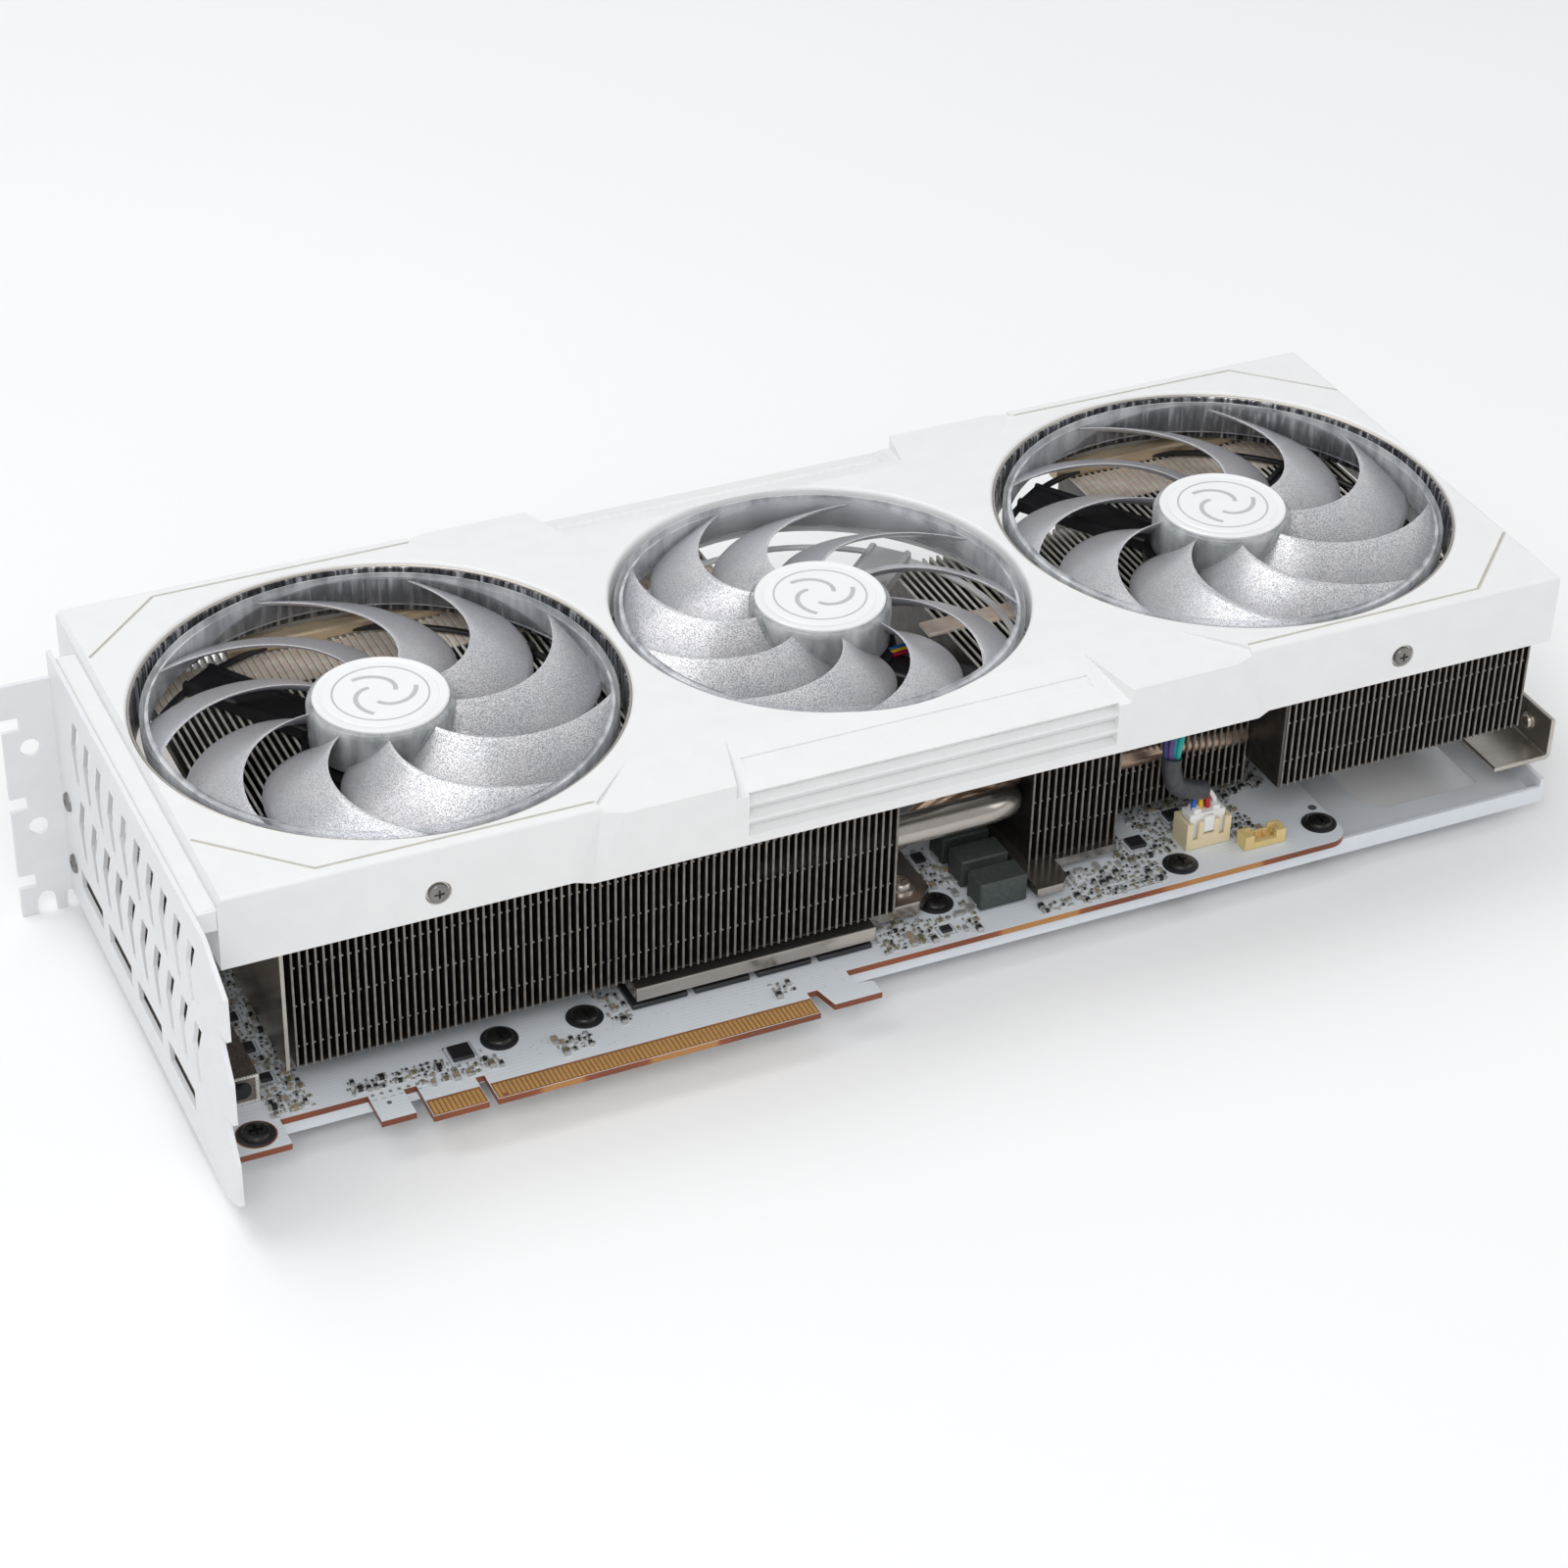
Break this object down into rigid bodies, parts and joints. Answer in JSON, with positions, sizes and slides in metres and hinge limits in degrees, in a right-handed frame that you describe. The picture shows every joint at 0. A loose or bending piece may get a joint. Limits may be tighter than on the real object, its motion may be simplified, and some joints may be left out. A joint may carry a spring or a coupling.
{
  "type": "graphics card",
  "caption": "White triple-fan expansion card: shroud and fans over a finned cooler with heat pipes, on a circuit board with a slot bracket, edge connector and backplate.",
  "frame": {"origin": "middle of the bounding box's base; the card lies with its backplate down and its fans up", "axes": "+X along the card's length, from the slot bracket to the far end; +Y from the edge connector towards the card's top edge; +Z from the backplate to the fans"},
  "size_m": [0.331, 0.1374, 0.0658],
  "materials": {
    "white_metal": "white powder coat, satin",
    "white_plastic": "moulded white plastic, satin",
    "white_board": "white solder mask over glass-fibre laminate",
    "steel": "nickel-plated steel",
    "nickel": "black-nickel plated copper",
    "dark_fin": "thin plated aluminium fins",
    "black_plastic": "black moulded plastic",
    "smoky_plastic": "translucent grey plastic with a fine sparkle",
    "ferrite": "pressed ferrite powder",
    "cream_plastic": "cream nylon",
    "silicon": "package substrate with a polished die",
    "lead_sleeve": "coloured wires in a black sleeve",
    "gold": "gold plating on contacts",
    "copper": "copper, bare edges",
    "clear_plastic": "clear glossy plastic"
  },
  "bodies": {
    "card": {"pcb": "white_board", "backplate": "white_metal", "io_bracket": "white_metal", "shroud": "white_plastic", "end_bracket": "steel", "fan_frame_left": "black_plastic", "fan_stator_left": "steel", "fan_frame_middle": "black_plastic", "fan_stator_middle": "steel", "fan_frame_right": "black_plastic", "fan_stator_right": "steel", "fin_stack_left": "dark_fin", "fin_stack_middle": "dark_fin", "fin_stack_right": "dark_fin", "vrm_fin_block": "dark_fin", "cold_plate": "nickel", "heatpipe_1": "nickel", "heatpipe_2": "nickel", "heatpipe_3": "nickel", "heatpipe_4": "nickel", "heatpipe_5": "nickel", "gpu_package": "silicon", "memory_1": "black_plastic", "memory_2": "black_plastic", "memory_3": "black_plastic", "memory_4": "black_plastic", "memory_5": "black_plastic", "memory_6": "black_plastic", "memory_7": "black_plastic", "memory_8": "black_plastic", "choke_1": "ferrite", "choke_2": "ferrite", "choke_3": "ferrite", "power_connector_1": "black_plastic", "power_connector_2": "black_plastic", "bios_switch_body": "black_plastic", "fan_header": "cream_plastic", "led_header": "cream_plastic", "fan_plug": "white_plastic", "fan_lead": "lead_sleeve", "dp_port_1": "steel", "dp_port_2": "steel", "dp_port_3": "steel", "hdmi_port": "steel", "bracket_screw_1": "steel", "bracket_screw_2": "steel", "shroud_screw_1": "steel", "shroud_screw_2": "steel", "shroud_screw_3": "steel", "shroud_screw_4": "steel"},
    "rotor_left": {"fan_shaft_left": "steel", "fan_impeller_left": "smoky_plastic", "fan_cap_left": "white_plastic"},
    "rotor_middle": {"fan_shaft_middle": "steel", "fan_impeller_middle": "smoky_plastic", "fan_cap_middle": "white_plastic"},
    "rotor_right": {"fan_shaft_right": "steel", "fan_impeller_right": "smoky_plastic", "fan_cap_right": "white_plastic"},
    "switch_slider": {"bios_switch_slider": "white_plastic"}
  },
  "joints": [
    {"name": "fan_spin_left", "type": "hinge", "parent": "card", "child": "rotor_left", "pos_m": [-0.09485, 0.01, 0.0588], "axis": [0, 0, 1], "continuous": true},
    {"name": "fan_spin_middle", "type": "hinge", "parent": "card", "child": "rotor_middle", "pos_m": [0.0056, 0.01, 0.0588], "axis": [0, 0, 1], "continuous": true},
    {"name": "fan_spin_right", "type": "hinge", "parent": "card", "child": "rotor_right", "pos_m": [0.10605, 0.01, 0.0588], "axis": [0, 0, 1], "continuous": true},
    {"name": "bios_switch_slide", "type": "slide", "parent": "card", "child": "switch_slider", "axis": [1, 0, 0], "range_m": [0, 0.002]}
  ]
}
